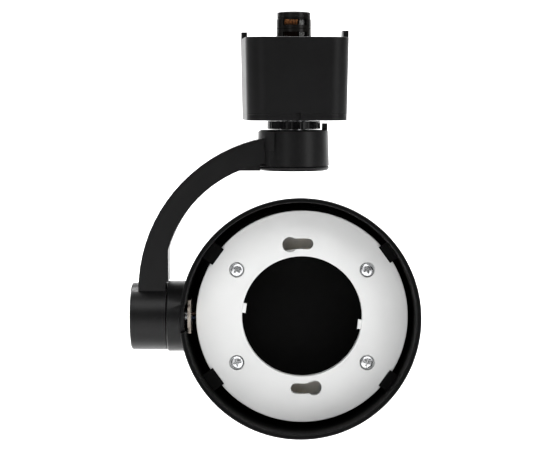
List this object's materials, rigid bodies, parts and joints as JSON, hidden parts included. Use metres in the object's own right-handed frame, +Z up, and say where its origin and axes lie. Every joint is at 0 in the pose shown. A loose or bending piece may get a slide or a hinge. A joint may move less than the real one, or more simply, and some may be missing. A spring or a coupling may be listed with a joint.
{
  "type": "track spotlight",
  "caption": "Ceiling-track spotlight: square track adapter, curved swivel arm and a round tilting head with a flat twist-lock lampholder behind a deep rim.",
  "frame": {"origin": "on the swivel axis, level with the face of the adapter that meets the track", "axes": "+Z up along the swivel axis, towards the track; the head looks along -Y at rest, tipped 3.7 degrees up; +X is from the arm towards the head"},
  "size_m": [0.1047, 0.0439, 0.1541],
  "materials": {
    "black_plastic": "satin moulded plastic",
    "gloss_black": "polished moulded plastic",
    "plug_black": "satin insulating plastic",
    "painted_black": "fine-textured powder coat",
    "white_plastic": "satin moulded plastic",
    "zinc": "bright zinc plate",
    "steel": "plain steel",
    "spring_steel": "bright spring steel",
    "nickel": "nickel-plated steel",
    "copper": "bare copper alloy",
    "brass": "bare brass",
    "brown_lead": "silicone insulation",
    "blue_lead": "silicone insulation"
  },
  "bodies": {
    "adapter": {"adapter_body": "black_plastic", "adapter_cover": "black_plastic", "cover_screw_1": "zinc", "cover_screw_2": "zinc", "track_plug": "plug_black", "plug_cap": "plug_black", "contact_live": "copper", "contact_neutral": "copper", "contact_spring_live": "spring_steel", "contact_spring_neutral": "spring_steel", "terminal_live": "brass", "terminal_neutral": "brass", "terminal_screw_live": "zinc", "terminal_screw_neutral": "zinc", "swivel_nipple": "zinc", "nipple_nut_top": "zinc", "nipple_nut_bottom": "zinc", "swivel_washer": "steel", "swivel_spring_washer": "spring_steel", "neck_collar": "gloss_black", "stop_pin": "steel", "adapter_lead_live": "brown_lead", "adapter_lead_neutral": "blue_lead"},
    "arm": {"arm": "painted_black", "arm_back_strip": "black_plastic", "boss_cap": "black_plastic", "hub_cap": "black_plastic", "arm_lead_live": "brown_lead", "arm_lead_neutral": "blue_lead"},
    "head": {"head_housing": "painted_black", "pivot_stub": "painted_black", "clamp_plate": "nickel", "tilt_bolt": "zinc", "tilt_nut": "zinc", "tilt_washer": "steel", "tilt_spring_washer": "spring_steel", "lampholder_face": "white_plastic", "lampholder_base": "white_plastic", "lamp_contact_top": "brass", "lamp_contact_bottom": "brass", "holder_screw_1": "zinc", "holder_screw_2": "zinc", "holder_screw_3": "zinc", "holder_screw_4": "zinc", "head_lead_live": "brown_lead", "head_lead_neutral": "blue_lead"}
  },
  "joints": [
    {"name": "swivel", "type": "hinge", "parent": "adapter", "child": "arm", "pos_m": [0, 0, -0.033], "axis": [0, 0, 1], "range_deg": [-250, 80]},
    {"name": "tilt", "type": "hinge", "parent": "arm", "child": "head", "pos_m": [-0.0462, 0, -0.1011], "axis": [1, 0, 0], "range_deg": [-86, 94]}
  ]
}
